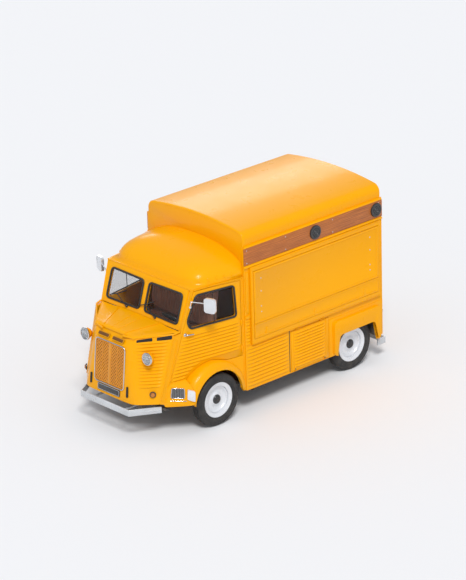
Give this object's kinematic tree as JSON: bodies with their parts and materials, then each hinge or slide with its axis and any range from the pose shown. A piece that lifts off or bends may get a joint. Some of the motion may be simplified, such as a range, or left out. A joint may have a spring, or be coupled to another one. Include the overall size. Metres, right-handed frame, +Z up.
{
  "type": "food truck",
  "caption": "Short-nosed corrugated-sheet food truck with a raised box, serving hatch and counter, rear-hinged cab doors, rear doors and steered front wheels.",
  "frame": {"origin": "on the ground, in the middle of the width and of the length over the bumpers", "axes": "+Z up, -Y towards the front of the truck, +X towards its left side with the serving hatch"},
  "size_m": [2.3356, 4.26, 2.598],
  "materials": {
    "body_paint": "gloss",
    "grille_paint": "satin",
    "underbody": "matte",
    "floor_sheet": "satin",
    "engine_iron": "rough",
    "exhaust_steel": "matte",
    "bumper_paint": "satin",
    "glass": "clear",
    "cab_paint": "satin",
    "seat_leather": "satin",
    "fascia_wood": "satin varnish",
    "lamp_chrome": "polished",
    "mirror_chrome": "polished",
    "steering_plastic": "gloss",
    "wheel_paint": "gloss",
    "tyre_rubber": "matte"
  },
  "bodies": {
    "truck_body": {"chassis_rails": "underbody", "floor_pan": "floor_sheet", "engine_block": "engine_iron", "front_suspension": "underbody", "rear_suspension": "underbody", "exhaust": "exhaust_steel", "front_bumper": "bumper_paint", "rear_bumper": "bumper_paint", "nose_panel": "body_paint", "grille": "grille_paint", "windscreen_frame": "body_paint", "windscreen_glass": "glass", "cab_sides": "body_paint", "cab_roof": "body_paint", "front_wings": "body_paint", "cab_floor": "cab_paint", "dashboard": "cab_paint", "seat_cushion": "seat_leather", "seat_back": "seat_leather", "side_wall_left": "body_paint", "side_wall_right": "body_paint", "box_roof": "body_paint", "roof_front": "body_paint", "rear_frame": "body_paint", "hatch_frame": "body_paint", "fascia_boards": "fascia_wood", "rear_fenders": "body_paint", "headlamps": "lamp_chrome"},
    "bonnet": {"bonnet": "body_paint"},
    "cab_door_left": {"cab_door_left": "body_paint", "door_glass_left": "glass", "mirror_left": "mirror_chrome"},
    "cab_door_right": {"cab_door_right": "body_paint", "door_glass_right": "glass", "mirror_right": "mirror_chrome"},
    "steering_wheel": {"steering_wheel": "steering_plastic"},
    "rear_door_left": {"rear_door_left": "body_paint"},
    "rear_door_right": {"rear_door_right": "body_paint"},
    "serving_hatch": {"serving_hatch": "body_paint"},
    "counter_flap": {"counter_flap": "body_paint"},
    "locker_door": {"locker_door": "body_paint"},
    "knuckle_left": {"knuckle_left": "underbody"},
    "knuckle_right": {"knuckle_right": "underbody"},
    "wheel_front_left": {"rim_front_left": "wheel_paint", "tyre_front_left": "tyre_rubber"},
    "wheel_front_right": {"rim_front_right": "wheel_paint", "tyre_front_right": "tyre_rubber"},
    "wheel_rear_left": {"rim_rear_left": "wheel_paint", "tyre_rear_left": "tyre_rubber"},
    "wheel_rear_right": {"rim_rear_right": "wheel_paint", "tyre_rear_right": "tyre_rubber"}
  },
  "joints": [
    {"name": "steer_left", "type": "hinge", "parent": "truck_body", "child": "knuckle_left", "pos_m": [0.745, -0.99, 0.36], "axis": [0, 0, 1], "range_deg": [-30, 30]},
    {"name": "steer_right", "type": "hinge", "parent": "truck_body", "child": "knuckle_right", "pos_m": [-0.745, -0.99, 0.36], "axis": [0, 0, 1], "range_deg": [-30, 30]},
    {"name": "steering_wheel_turn", "type": "hinge", "parent": "truck_body", "child": "steering_wheel", "pos_m": [0.4, -1.177, 1.385], "axis": [0, 0.6157, 0.788], "range_deg": [-360, 360]},
    {"name": "wheel_front_left_spin", "type": "hinge", "parent": "knuckle_left", "child": "wheel_front_left", "pos_m": [0.9, -0.99, 0.36], "axis": [1, 0, 0], "continuous": true},
    {"name": "wheel_front_right_spin", "type": "hinge", "parent": "knuckle_right", "child": "wheel_front_right", "pos_m": [-0.9, -0.99, 0.36], "axis": [1, 0, 0], "continuous": true},
    {"name": "wheel_rear_left_spin", "type": "hinge", "parent": "truck_body", "child": "wheel_rear_left", "pos_m": [0.849, 1.51, 0.36], "axis": [1, 0, 0], "continuous": true},
    {"name": "wheel_rear_right_spin", "type": "hinge", "parent": "truck_body", "child": "wheel_rear_right", "pos_m": [-0.849, 1.51, 0.36], "axis": [1, 0, 0], "continuous": true},
    {"name": "cab_door_left_swing", "type": "hinge", "parent": "truck_body", "child": "cab_door_left", "pos_m": [0.9425, -0.53, 1.4], "axis": [0, 0, 1], "range_deg": [0, 75]},
    {"name": "cab_door_right_swing", "type": "hinge", "parent": "truck_body", "child": "cab_door_right", "pos_m": [-0.9425, -0.53, 1.4], "axis": [0, 0, -1], "range_deg": [0, 75]},
    {"name": "rear_door_left_swing", "type": "hinge", "parent": "truck_body", "child": "rear_door_left", "pos_m": [0.885, 2.059, 1.4], "axis": [0, 0, -1], "range_deg": [0, 100]},
    {"name": "rear_door_right_swing", "type": "hinge", "parent": "truck_body", "child": "rear_door_right", "pos_m": [-0.885, 2.059, 1.4], "axis": [0, 0, 1], "range_deg": [0, 100]},
    {"name": "bonnet_lift", "type": "hinge", "parent": "truck_body", "child": "bonnet", "pos_m": [0, -1.458, 1.42], "axis": [-1, 0, 0], "range_deg": [0, 60]},
    {"name": "serving_hatch_lift", "type": "hinge", "parent": "truck_body", "child": "serving_hatch", "pos_m": [1.003, 0.8, 1.983], "axis": [0, -1, 0], "range_deg": [0, 90]},
    {"name": "counter_flap_drop", "type": "hinge", "parent": "truck_body", "child": "counter_flap", "pos_m": [1.003, 0.8, 1.036], "axis": [0, 1, 0], "range_deg": [0, 90]},
    {"name": "locker_door_lift", "type": "hinge", "parent": "truck_body", "child": "locker_door", "pos_m": [0.97, 0.68, 0.92], "axis": [0, -1, 0], "range_deg": [0, 85]}
  ],
  "couplings": [
    {"joint": "steer_right", "follows": "steer_left", "ratio": 1},
    {"joint": "steering_wheel_turn", "follows": "steer_left", "ratio": 12}
  ]
}
